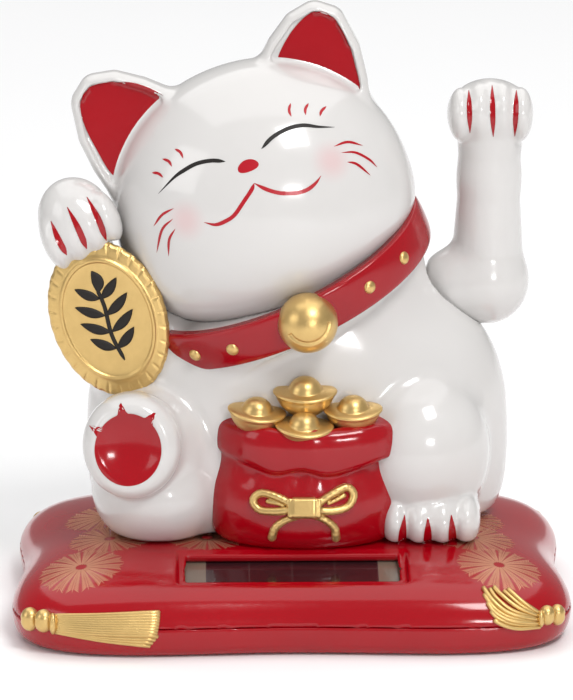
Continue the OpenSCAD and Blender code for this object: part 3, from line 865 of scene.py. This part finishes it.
def coin_body(rings=46, around=360):
    """Oval coin: flat field, raised ring, and a fluted bevel whose creases run over the edge."""
    verts, faces = [], []
    share = np.concatenate([np.linspace(0.05, 0.7, 8), np.linspace(0.72, 1.0, rings - 8)])
    rows = [(s, float(np.interp(s, COIN_PROFILE[:, 0], COIN_PROFILE[:, 1]))) for s in share]
    rows += [(1.012, 0.2), (1.015, 0.0), (1.012, -0.2)] + [(s, -h) for s, h in reversed(rows)]
    for s, h in rows:
        for i in range(around):
            a = 2 * math.pi * i / around
            phase = (a * FLUTES / (2 * math.pi)) % 1 - 0.5
            crease = math.exp(-((phase / 0.09) ** 2)) * min(max((s - 0.84) / 0.08, 0), 1)
            swell = math.cos(2 * math.pi * phase) * min(max((s - 0.9) / 0.1, 0), 1)
            r = s - 0.008 * crease + 0.006 * swell
            sign = 1 if h > 0 else -1
            verts.append(coin_point(COIN_AXES[0] * r * math.cos(a), COIN_AXES[1] * r * math.sin(a),
                h - sign * 0.16 * crease))
    n = len(rows)
    for r in range(n - 1):
        for i in range(around):
            j = (i + 1) % around
            faces.append((r * around + i, (r + 1) * around + i, (r + 1) * around + j, r * around + j))
    faces.append(tuple(range(around)))
    faces.append(tuple(reversed(range((n - 1) * around, n * around))))
    return mesh_object("lucky_coin", np.array(verts), faces, GOLD)


def raised_stroke(knots, width, height, bulge=0.5, count=30, across=7):
    """Rounded enamel ridge on the coin. bulge 0 is an even line; 1 is a leaf, widest in its middle."""
    line = spline(knots, count)
    along = np.gradient(line, axis=0)
    side = np.stack([-along[:, 1], along[:, 0]], 1) / (np.linalg.norm(along, axis=1)[:, None] + 1e-9)
    t = np.linspace(0, 1, count)
    even = np.minimum(1, np.minimum(t, 1 - t) / 0.08 + 0.25)
    w = width * ((1 - bulge) * even + bulge * np.sin(math.pi * t) ** 0.8)
    verts = []
    for i in range(count):
        for j in range(across):
            b = math.pi * j / (across - 1)
            x, y = line[i] + side[i] * w[i] / 2 * math.cos(b)
            verts.append(coin_point(x, y, COIN_FACE - 0.05 + height * math.sin(b) ** 0.7))
    faces = [
        (i * across + j, i * across + j + 1, (i + 1) * across + j + 1, (i + 1) * across + j)
        for i in range(count - 1)
        for j in range(across - 1)
    ]
    return np.array(verts), faces


def sprig():
    """Leafy twig in black enamel: a stem, paired leaves and a leaf at the tip."""
    parts = [raised_stroke([(0.6, -8.0), (-0.2, -3), (0.2, 2.5), (-0.1, 6.0)], 0.8, 0.35, 0.1)]
    parts.append(raised_stroke([(-0.1, 5.2), (0.5, 7.2), (0.0, 9.4)], 2.3, 0.4, 1.0))
    for y, reach in ((-5.6, 4.2), (-2.4, 5.0), (0.8, 5.0), (4.0, 4.0)):
        for sign in (-1, 1):
            foot = (-0.1 + 0.1 * sign, y)
            knots = [foot, (sign * reach * 0.5, y + 1.2), (sign * reach, y + 3.0)]
            parts.append(raised_stroke(knots, 1.9, 0.4, 1.0))
    return joined(parts)


shown(coin_body(), "figure", "gold_trim", "coin")
v, f = sprig()
shown(mesh_object("coin_sprig", v, f, BLACK_PAINT), "figure", "black_part")

# ---------------------------------------------------------------- money bag, bow and ingots

BAG = np.array([2.3, -8.0])
BAG_LEVELS = Levels(
    [
        (TOP_Z - 0.2, 2.5, -8, 14.2, 7.8),
        (15.6, 2.5, -8, 15.9, 9.0),
        (17.5, 2.5, -8, 16.9, 9.8),
        (21.5, 2.5, -8, 17.4, 10.2),
        (25, 2.5, -8, 17.0, 9.8),
        (28.6, 2.5, -8, 15.9, 9.1),
        (30.5, 2.5, -8, 15.5, 8.9),
        (33, 2.5, -8, 15.5, 8.9),
    ]
)
FRILL_LEVELS = Levels(
    [
        (27.0, 3.2, -8, 16.0, 9.6),
        (29.0, 3.3, -8, 16.3, 10.0),
        (31.5, 3.4, -8, 16.9, 10.5),
        (34.4, 3.5, -8, 17.0, 10.5),
        (36.8, 3.5, -8, 16.3, 9.7),
        (38.0, 3.4, -8, 14.2, 7.4),
        (38.5, 3.4, -8, 11.5, 5.4),
    ]
)


HEM = spline([(-15, 31.4), (-9.6, 30.2), (-5.4, 28.9), (-0.4, 29.8), (4.2, 28.7), (9.2, 29.7), (14, 30.8)],
    80)


def money_bag(p):
    """Full pouch with a soft turned-over mouth whose lower edge waves."""
    x = p[0] - BAG[0]
    a = np.arctan2(p[1] - BAG[1], x)
    pleats = 0.16 * np.cos(15 * a) * np.exp(-(((p[2] - 28.2) / 1.8) ** 2))
    d = BAG_LEVELS(p) + pleats
    hem = np.interp(x, HEM[:, 0], HEM[:, 1])
    frill = FRILL_LEVELS(p) + 0.28 * np.cos(7 * a + 0.8) * np.clip((p[2] - 27) / 5, 0, 1)
    frill = smooth_max(frill, hem - p[2], 1.3)
    mouth = egg(p, (2.6, -8.6, 41.5), (13.6, 9.6, 7.2))
    d = smooth_max(smooth_min(d, frill, 0.5), -mouth, 0.8)
    return smooth_max(d, -(body_main(p) + 1.0), 0.3)


shown(
    solidify_field("money_pouch", money_bag, (-15.5, -19.8, TOP_Z), (20.8, 4, 39.2), 0.3, RED),
    "figure",
    "red_trim",
    "money_bag",
)


def wires(strands):
    """Field of round strands: each is points and one radius, or a radius at each end."""
    def field(p):
        d = None
        for line, r0, r1 in strands:
            n = len(line) - 1
            for i in range(n):
                ra, rb = r0 + (r1 - r0) * i / n, r0 + (r1 - r0) * (i + 1) / n
                e = limb(p, line[i], line[i + 1], ra, rb)
                d = e if d is None else smooth_min(d, e, 0.12)
        return d
    return field


def bow():
    """Tied ribbon: two teardrop loops, a wide knot and two short tails, lying on the pouch."""
    front = Painter(money_bag, (3.0, -17.4, 25.2), RIGHT, UP, eye=EYE)

    def laid(knots, lift, count, closed=False):
        uv = closed_curve(knots, count) if closed else spline(knots, count)
        line = front.place(uv, lift)
        return np.vstack([line, line[:1]]) if closed else line

    left = [(-3.0, -1.5), (-5.6, -0.1), (-8.4, 0.6), (-9.8, -0.7), (-8.7, -2.4), (-5.8, -2.7), (-3.0, -2.3)]
    right = [(1.7, -1.4), (4.3, 0.5), (6.8, 1.6), (8.0, 0.3), (7.0, -1.8), (4.4, -2.6), (1.7, -2.4)]
    strands = [
        (laid(left, 0.35, 22, True), 0.72, 0.72),
        (laid(right, 0.35, 22, True), 0.72, 0.72),
        (laid([(-7.2, -0.9), (-5.8, -1.2), (-4.6, -1.6)], 0.05, 5), 0.5, 0.35),
        (laid([(6.3, 0.1), (5.0, -0.6), (3.6, -1.3)], 0.05, 5), 0.5, 0.35),
        (laid([(-1.6, -3.5), (-4.2, -4.3), (-5.9, -5.6), (-6.5, -7.3)], 0.2, 9), 0.6, 0.8),
        (laid([(0.4, -3.3), (2.8, -4.1), (4.6, -5.6), (4.9, -7.4)], 0.2, 9), 0.6, 0.8),
    ]
    loops = wires(strands)
    middle = front.place([(-0.8, -2.1)], 0.1)[0]
    ends = [front.place([(u, -2.1)], 0.25)[0] for u in (-3.3, 1.8)]

    def field(p):
        knot = block(p, middle, (2.6, 1.95, 1.3), 0.9, VIEW_FRAME)
        for e in ends:
            knot = smooth_min(knot, block(p, e, (0.45, 1.8, 1.1), 0.42, VIEW_FRAME), 0.15)
        return smooth_min(loops(p), knot, 0.25)

    return solidify_field("pouch_bow", field, (-9.5, -20.5, 16.4), (13.3, -13.2, 29.0), 0.2, GOLD)


shown(bow(), "figure", "gold_trim", "bag_bow")


def ingot(name, centre, size, tip, roll, node):
    """Boat-shaped ingot: wide brim with raised ends, a tapering hull and a round crown."""
    frame_turn = turn(y=roll) @ turn(x=tip)

    def field(p):
        q = [c / size for c in turned(p, centre, frame_turn)]
        z = q[2] - 0.014 * q[0] ** 2
        bent = [q[0], q[1], z]
        brim = egg(bent, (0, 0, 0), (5.7, 4.2, 0.9))
        hull = smooth_max(egg(bent, (0, 0, 0.6), (5.35, 4.0, 4.9)), z - 0.1, 0.3)
        d = smooth_min(brim, hull, 0.35)
        crown = egg(q, (0, 0.1, 0.0), (3.15, 3.0, 3.15))
        return smooth_min(d, crown, 0.22) * size

    low, high = np.array(centre) - 6.6, np.array(centre) + 6.6
    low[2], high[2] = centre[2] - 4.9, centre[2] + 4.2
    shown(solidify_field(name, field, low, high, 0.2, GOLD), "figure", "gold_trim", node)


ingot("ingot_of_the_back", (2.5, -12.0, 42.8), 1.02, 8, 0, "ingot_back")
ingot("ingot_of_the_left", (-6.2, -13.0, 39.5), 0.94, 10, 7, "ingot_left")
ingot("ingot_of_the_right", (11.1, -12.8, 39.7), 0.94, 10, -1, "ingot_right")
ingot("ingot_of_the_front", (2.3, -15.0, 37.3), 0.94, 13, 3, "ingot_front")

# ---------------------------------------------------------------- tassels


def tube(line, r0, r1, sides=8):
    """Closed round tube along points, radius r0 to r1."""
    line = np.asarray(line)
    along = np.gradient(line, axis=0)
    along /= np.linalg.norm(along, axis=1)[:, None]
    up = np.array([0.0, 0.0, 1.0])
    verts, n = [], len(line)
    for i in range(n):
        a = np.cross(along[i], up)
        a /= np.linalg.norm(a)
        b = np.cross(a, along[i])
        r = r0 + (r1 - r0) * i / (n - 1)
        for k in range(sides):
            t = 2 * math.pi * k / sides
            verts.append(line[i] + r * (math.cos(t) * a + math.sin(t) * b))
    faces = [
        (i * sides + k, (i + 1) * sides + k, (i + 1) * sides + (k + 1) % sides, i * sides + (k + 1) % sides)
        for i in range(n - 1)
        for k in range(sides)
    ]
    first, last = len(verts), len(verts) + 1
    verts += [line[0] - along[0] * r0 * 0.5, line[-1] + along[-1] * r1 * 0.6]
    faces += [(first, k, (k + 1) % sides) for k in range(sides)]
    e = (n - 1) * sides
    faces += [(last, e + (k + 1) % sides, e + k) for k in range(sides)]
    return np.array(verts), faces


def bead(centre, radii, rings=14, around=20):
    verts, faces = [], []
    for i in range(rings + 1):
        a = math.pi * i / rings
        for k in range(around):
            b = 2 * math.pi * k / around
            pinch = 1 - 0.07 * math.exp(-(((i - rings / 2) / 0.9) ** 2))
            verts.append(
                np.array(centre)
                + np.array([radii[0] * math.sin(a) * math.cos(b), radii[1] * math.sin(a) * math.sin(b),
                    radii[2] * math.cos(a)]) * pinch
            )
    faces = [
        (i * around + k, (i + 1) * around + k, (i + 1) * around + (k + 1) % around,
            i * around + (k + 1) % around)
        for i in range(rings)
        for k in range(around)
    ]
    return np.array(verts), faces


def tassel_left():
    """Long straight tassel along the front's left: two beads, a neck and a fan of cords."""
    at = Painter(cushion, (-44, -27, 7), RIGHT, UP, eye=EYE)
    parts = []
    for u, v, r in ((-2.7, -1.5, 2.2), (-0.3, -1.8, 2.15)):
        c = at.place([(u, v)], 0.2)[0]
        parts.append(bead(c, (1.75, 1.6, r)))
    c = at.place([(1.3, -2.3)], 0.1)[0]
    parts.append(bead(c, (0.8, 1.4, 2.0)))
    for j in range(9):
        s = j / 8
        start, mid, end = (1.2, -0.9 - 2.5 * s), (9.6, -0.8 - 3.3 * s), (20.2 - 0.6 * s**2, -0.3 - 4.1 * s)
        line = at.place(spline([start, mid, end], 16), 0.05)
        parts.append(tube(line, 0.42, 0.46))
    for j in range(4):
        s = j / 3
        start, mid, end = (1.2, -3.4 - 0.4 * s), (9.6, -4.3 - 1.0 * s), (19.9 - 1.4 * s, -4.6 - 1.7 * s)
        line = at.place(spline([start, mid, end], 14), -0.12)
        parts.append(tube(line, 0.36, 0.46))
    return joined(parts)


def tassel_right():
    """Swept tassel on the front's right: its cords curl up and back over the cushion's edge."""
    at = Painter(cushion, (44, -27, 7), RIGHT, UP, eye=EYE)
    parts = []
    for u, v, r in ((3.1, -1.2, 1.95), (1.3, -1.3, 1.85)):
        c = at.place([(u, v)], 0.2)[0]
        parts.append(bead(c, (1.5, 1.5, r)))
    c = at.place([(0.3, -1.9)], 0.1)[0]
    parts.append(bead(c, (0.7, 1.3, 1.6)))
    rows = (
        [(0.0, -1.0), (-3.0, 1.0), (-5.6, 3.2)],
        [(0.0, -1.2), (-3.4, 0.6), (-6.3, 3.0)],
        [(0.0, -1.5), (-4.0, 0.1), (-7.0, 2.4), (-8.1, 3.6)],
        [(0.0, -1.8), (-4.6, -0.5), (-7.5, 1.6), (-8.8, 3.4)],
        [(0.0, -2.1), (-5.0, -1.1), (-8.0, 0.9), (-10.0, 3.5)],
        [(0.0, -2.4), (-5.0, -1.7), (-8.0, 0.0), (-9.8, 2.4)],
        [(0.0, -2.7), (-4.8, -2.3), (-7.8, -0.9), (-9.2, 0.8)],
        [(0.0, -3.0), (-4.4, -2.9), (-7.2, -1.9), (-8.6, -0.6)],
        [(0.0, -3.3), (-3.6, -3.6), (-6.2, -3.1), (-8.0, -2.2)],
    )
    for i, knots in enumerate(rows):
        lift = 0.3 if i % 2 == 0 else 0.05
        parts.append(tube(at.place(spline(knots, 14), lift), 0.36, 0.44))
    return joined(parts)


def mirrored(parts, x=False, y=False):
    v, f = parts
    sign = np.array([-1 if x else 1, -1 if y else 1, 1])
    flip = x != y
    return v * sign, [tuple(reversed(t)) for t in f] if flip else f


long_tassel, swept_tassel = tassel_left(), tassel_right()
for name, parts, node in (
    ("tassel_long", long_tassel, "tassel_front_left"),
    ("tassel_swept", swept_tassel, "tassel_front_right"),
    ("tassel_back_long", mirrored(long_tassel, y=True), "tassel_rear_left"),
    ("tassel_back_swept", mirrored(swept_tassel, y=True), "tassel_rear_right"),
):
    shown(mesh_object(name, *parts, GOLD), "figure", "gold_trim", node)

# ---------------------------------------------------------------- printed flowers on the cushion


def flower(painter, centre, radius, petals=16):
    """Round printed flower: each petal is a fan of fine slanting lines."""
    parts = []
    for k in range(petals):
        a0 = 2 * math.pi * (k + 0.08) / petals
        a1 = 2 * math.pi * (k + 0.92) / petals
        mid = (a0 + a1) / 2
        tip = np.array(centre) + radius * np.array([math.cos(mid), math.sin(mid)])
        root = np.array(centre) + 0.14 * radius * np.array([math.cos(mid), math.sin(mid)])
        parts.append(painter.stroke([root, tip], 0.16, (0.05, 0.05), 10, 2))
        for r in np.arange(0.2, 1.01, 0.05):
            for a in (a0, a1):
                outer = np.array(centre) + radius * r * np.array([math.cos(a), math.sin(a)])
                inner = np.array(centre) + radius * max(r - 0.14,
                    0.12) * np.array([math.cos(mid), math.sin(mid)])
                parts.append(painter.stroke([inner, outer], 0.2, (0.1, 0.1), 4, 2))
    return parts


top_view = Painter(upper_base, (0, 0, 7), (1, 0, 0), (0, 1, 0), lift=0.025)
flowers = []
for centre in ((-37.8, -21.6), (37.1, -21.8), (-33.9, 5.1), (-32.9, -8.6), (31.9, 2.1), (33.2, -8.9),
    (-15.2, -8.6)):
    flowers += flower(top_view, centre, 7.7)
v, f = top_view.laid(flowers)
shown(mesh_object("printed_flowers", v, f, GOLD_PRINT), "figure", "gold_trim")

# ---------------------------------------------------------------- painted face

face = Painter(head, HEAD, RIGHT * math.cos(HEAD_ROLL) + UP * math.sin(HEAD_ROLL),
    UP * math.cos(HEAD_ROLL) - RIGHT * math.sin(HEAD_ROLL), eye=EYE, scale=1.018)


def paint(name, painter, parts, material, slot="red_trim", body="figure"):
    v, f = painter.laid(parts)
    return shown(mesh_object(name, v, f, material), body, slot)


EYES = (
    [(2.9, 8.2), (5.5, 9.5), (8.7, 10.0), (11.4, 9.6), (13.9, 8.4), (16.5, 7.4)],
    [(-3.9, 8.3), (-6.2, 9.3), (-8.9, 9.7), (-11.6, 9.3), (-13.6, 8.7), (-17.1, 7.0)],
)
LASHES = (
    [(10.6, 14.1), (9.9, 13.0), (9.9, 11.8)],
    [(13.6, 13.0), (12.7, 12.2), (12.4, 11.2)],
    [(16.4, 11.4), (15.3, 10.9), (14.7, 10.1)],
    [(-11.6, 13.5), (-10.9, 12.6), (-10.8, 11.4)],
    [(-14.3, 12.6), (-13.4, 11.8), (-13.2, 10.7)],
    [(-16.9, 10.9), (-15.9, 10.4), (-15.3, 9.4)],
)
WHISKERS = (
    [(15.2, 4.2), (17.8, 4.1), (20.1, 2.6)],
    [(16.1, 2.7), (18.4, 1.9), (20.3, -0.1), (21.2, -1.9)],
    [(16.5, 0.8), (18.0, -0.2), (19.6, -2.9)],
    [(-15.4, 3.6), (-17.8, 3.2), (-19.9, 1.8)],
    [(-16.2, 1.9), (-18.7, 0.7), (-21.0, -2.8)],
    [(-16.4, 0.1), (-18.1, -1.4), (-19.2, -4.1)],
)
MOUTH = (
    [(-0.4, 2.9), (-1.3, 1.9), (-3.2, 0.5), (-5.6, -1.2), (-7.4, -1.7), (-9.4, -1.7), (-11.2, -0.6)],
    [(-0.4, 2.9), (1.2, 1.2), (3.1, -0.2), (4.9, -0.95), (6.6, -1.4), (8.3, -1.4), (10.0, -0.8), (11.3, 0.1)],
)

def blushed(base, spots):
    """Copy of a plastic with soft pink airbrushed spots, each fading out from its centre."""
    m = base.copy()
    m.name = "blushed_plastic"
    nodes, links = m.node_tree.nodes, m.node_tree.links
    target = next(n for n in nodes if n.type == "BSDF_PRINCIPLED").inputs["Base Color"]
    colour = target.links[0].from_socket
    where = nodes.new("ShaderNodeTexCoord").outputs["Object"]
    for spot in spots:
        away = nodes.new("ShaderNodeVectorMath")
        away.operation = "DISTANCE"
        links.new(where, away.inputs[0])
        away.inputs[1].default_value = [c / 1000 for c in spot]
        fade = nodes.new("ShaderNodeMapRange")
        fade.interpolation_type = "SMOOTHSTEP"
        for key, value in (("From Min", 0.0004), ("From Max", 0.0046), ("To Min", 0.3), ("To Max", 0.0)):
            fade.inputs[key].default_value = value
        links.new(away.outputs["Value"], fade.inputs["Value"])
        mix = nodes.new("ShaderNodeMix")
        mix.data_type = "RGBA"
        links.new(fade.outputs["Result"], mix.inputs[0])
        links.new(colour, mix.inputs[6])
        mix.inputs[7].default_value = (0.66, 0.22, 0.24, 1)
        colour = mix.outputs[2]
    links.new(colour, target)
    return m


cheeks = face.place([(14.0, 1.9), (-14.2, 0.8)], 0)
cat_head.data.materials[0] = blushed(WHITE, cheeks)
paint("eye_lines", face, [face.stroke(k, 0.72, (0.12, 0.5)) for k in EYES], BLACK_PAINT, "black_part")
paint("lash_lines", face, [face.stroke(k, 0.5, (0.3, 0.4), 16) for k in LASHES], RED_PAINT)
paint("whisker_lines", face, [face.stroke(k, 0.45, (0.4, 0.4), 24) for k in WHISKERS], RED_PAINT)
paint("mouth_line", face, [face.stroke(k, 0.72, (0.15, 0.3)) for k in MOUTH], RED_PAINT)
nose = [(-0.4 + 1.95 * math.cos(a), 6.1 + 1.1 * math.sin(a) - 0.12 * math.cos(2 * a)) for a in np.linspace(0,
    2 * math.pi, 48, endpoint=False)]
paint("nose_spot", face, [face.patch(nose)], RED_PAINT)

# ---------------------------------------------------------------- ear linings, claws and sole

HEAD_TURN = turn(y=-math.degrees(HEAD_ROLL))
LININGS = {
    "ear_lining_right": (1,
        [(10.7, 22.0), (15.1, 26.9), (20.3, 29.3), (23.2, 27.8), (24.5, 23.4), (24.3, 17.6), (23.0, 12.0),
            (17, 13), (12, 17)]),
    "ear_lining_left": (-1,
        [(-9.4, 23.0), (-14.0, 28.2), (-20.0, 30.2), (-23.5, 29.6), (-25.2, 26.0), (-24.9, 20.0),
            (-23.0, 13.0), (-17, 14), (-12, 18)]),
}
for name, (side, outline) in LININGS.items():
    curve = closed_curve(outline, 90)
    at = Painter(lambda p, s=side: ear(p, s), HEAD, HEAD_TURN[:, 0], HEAD_TURN[:, 2], lift=0.16)
    paint(name, at, [at.patch(curve, 16)], RED)


def claws(name, field, origin, lines, width, body="figure", taper=(0.6, 0.25)):
    at = Painter(field, origin, RIGHT, UP, lift=0.07, eye=EYE)
    paint(name, at, [at.stroke(k, width, taper, 30) for k in lines], RED, body=body)


claws(
    "claws_waving",
    waving_arm,
    (36.8, 5, 90),
    ([(-4.4, 4.6), (-4.3, 1.0), (-4.2, -3.1)], [(-0.2, 5.5), (-0.1, 1.0), (0.0, -3.8)],
        [(4.2, 4.6), (4.1, 0.7), (3.9, -3.7)]),
    1.0,
    "waving_arm",
    (0.45, 0.4),
)
claws(
    "claws_held",
    body_shell,
    (-38.5, -6.5, 73),
    ([(2.0, 4.8), (4.0, 1.0), (5.5, -3.0)], [(-1.5, 3.0), (0.5, -0.9), (2.0, -4.5)],
        [(-4.4, 0.5), (-3.1, -2.7), (-1.6, -5.6)]),
    1.15,
)
def foot_on_cushion(p):
    return np.minimum(body_shell(p), cushion(p))


claws(
    "claws_foot",
    foot_on_cushion,
    (25.4, -15, 18.5),
    ([(-5.0, 2.2), (-5.3, -0.8), (-5.5, -3.3)], [(-0.8, 1.7), (-0.8, -1.0), (-0.9, -3.5)],
        [(3.4, 2.2), (3.6, -0.8), (3.7, -3.3)]),
    1.5,
    taper=(0.7, 0.0),
)
sole = Painter(body_shell, SOLE, RIGHT, UP, lift=0.05, eye=EYE)


def sole_outline(count=120):
    """Oval pad with three short claw points along its upper side."""
    points_out = []
    for i in range(count):
        a = 2 * math.pi * i / count
        r = 1.0
        for tip, reach in ((150, 0.34), (100, 0.36), (52, 0.36)):
            gap = (math.degrees(a) - tip + 180) % 360 - 180
            r += reach * max(0, 1 - abs(gap) / 9) ** 1.3
        points_out.append((-0.4 + 6.0 * r * math.cos(a), -0.4 + 6.5 * r * math.sin(a)))
    return points_out


paint("sole_pad", sole, [sole.patch(sole_outline(), 12)], RED)

# ---------------------------------------------------------------- CAD nodes that keep their shape

FINISHES = {
    "solar_cell": SOLAR,
    "base_screws": STEEL,
    "body_screws": STEEL,
    "bracket_screws": STEEL,
    "solar_leads": WIRE,
    "circuit_board": BOARD,
    "capacitor": SLEEVE,
    "driver_chip": CHIP,
    "coil_bobbin": NYLON,
    "coil_winding": COPPER,
    "coil_leads": COPPER,
    "mechanism_bracket": NYLON,
    "arm_plug": NYLON,
    "rocker": NYLON,
    "axle_pin": STEEL,
    "magnet": MAGNET,
}
for node, material in FINISHES.items():
    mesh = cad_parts[node].data
    mesh.materials.clear()
    mesh.materials.append(material)
